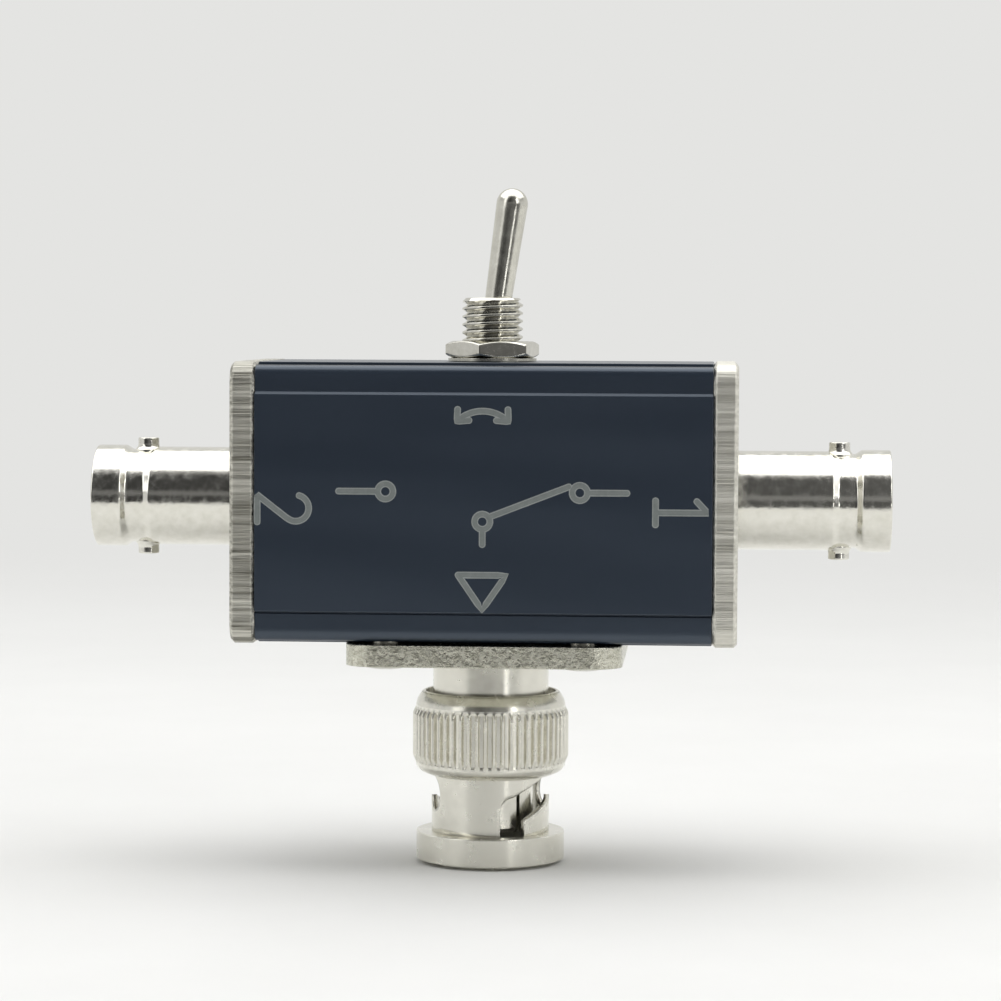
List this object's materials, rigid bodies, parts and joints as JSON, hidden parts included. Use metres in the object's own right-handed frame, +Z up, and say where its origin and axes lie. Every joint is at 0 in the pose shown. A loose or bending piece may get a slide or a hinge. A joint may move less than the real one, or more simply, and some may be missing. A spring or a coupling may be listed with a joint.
{
  "type": "coaxial antenna switch",
  "caption": "Small square metal box with a bayonet coaxial jack at each end, a bayonet coaxial plug below and a toggle switch on top that joins the plug to one of the jacks.",
  "frame": {"origin": "centre of the coupling nut's front face, on the surface that the switch stands on", "axes": "+X towards the jack at the picture's right, -Y towards the camera, +Z up along the plug and the toggle"},
  "size_m": [0.0754, 0.026, 0.0641],
  "materials": {
    "anodised": "dark blue-grey anodised aluminium, satin",
    "plate": "fine-sawn edges",
    "flange": "nickel-plated casting with a grained edge",
    "nickel": "bright nickel plate on brass",
    "steel": "plated steel",
    "fluoroplastic": "white fluoroplastic",
    "gold": "gold-plated",
    "seal": "soft silicone",
    "case": "moulded thermoset",
    "nylon": "moulded nylon",
    "silver": "silver-plated",
    "tinned": "tinned copper"
  },
  "bodies": {
    "box": {"body_shell": "anodised", "end_plate_left": "plate", "end_plate_right": "plate", "end_screws_left": "steel", "end_screws_right": "steel", "jack_barrel_left": "nickel", "jack_barrel_right": "nickel", "jack_insulator_left": "fluoroplastic", "jack_insulator_right": "fluoroplastic", "jack_contact_left": "gold", "jack_contact_right": "gold", "plug_flange": "flange", "flange_screws": "nickel", "plug_core": "nickel", "plug_outer_contact": "nickel", "plug_insulator": "fluoroplastic", "plug_pin": "gold", "plug_gasket": "seal", "switch_bushing": "nickel", "switch_nut": "nickel", "switch_lock_washer": "steel", "switch_spacer": "steel", "switch_frame": "steel", "switch_case": "case", "lever_pin": "steel", "terminal_left": "silver", "terminal_common": "silver", "terminal_right": "silver", "wire_common": "tinned", "wire_left": "tinned", "wire_right": "tinned", "spring_washer": "steel"},
    "nut_carrier": {"thrust_washer": "steel", "retaining_ring": "steel"},
    "coupling_nut": {"coupling_nut": "nickel"},
    "lever": {"switch_lever": "nickel", "lever_spring": "steel"},
    "plunger": {"lever_plunger": "nylon"},
    "rocker": {"contact_rocker": "silver"}
  },
  "joints": [
    {"name": "coupling_pull", "type": "slide", "parent": "box", "child": "nut_carrier", "axis": [0, 0, 1], "range_m": [-0.0006, 0], "stiffness_N_per_m": 8000, "springref_m": 0.001, "deforming": ["spring_washer"]},
    {"name": "coupling_turn", "type": "hinge", "parent": "nut_carrier", "child": "coupling_nut", "pos_m": [0, 0, 0.0082], "axis": [0, 0, 1], "continuous": true},
    {"name": "lever_tilt", "type": "hinge", "parent": "box", "child": "lever", "pos_m": [0, 0, 0.0497], "axis": [0, 1, 0], "range_deg": [-16, 0]},
    {"name": "plunger_press", "type": "slide", "parent": "lever", "child": "plunger", "axis": [0.1392, 0, 0.9903], "range_m": [0, 0.0004], "stiffness_N_per_m": 400, "springref_m": -0.002, "deforming": ["lever_spring"]},
    {"name": "rocker_tilt", "type": "hinge", "parent": "box", "child": "rocker", "pos_m": [0, 0, 0.0392], "axis": [0, 1, 0], "range_deg": [0, 16]}
  ],
  "couplings": [
    {"joint": "rocker_tilt", "follows": "lever_tilt", "ratio": -1}
  ]
}
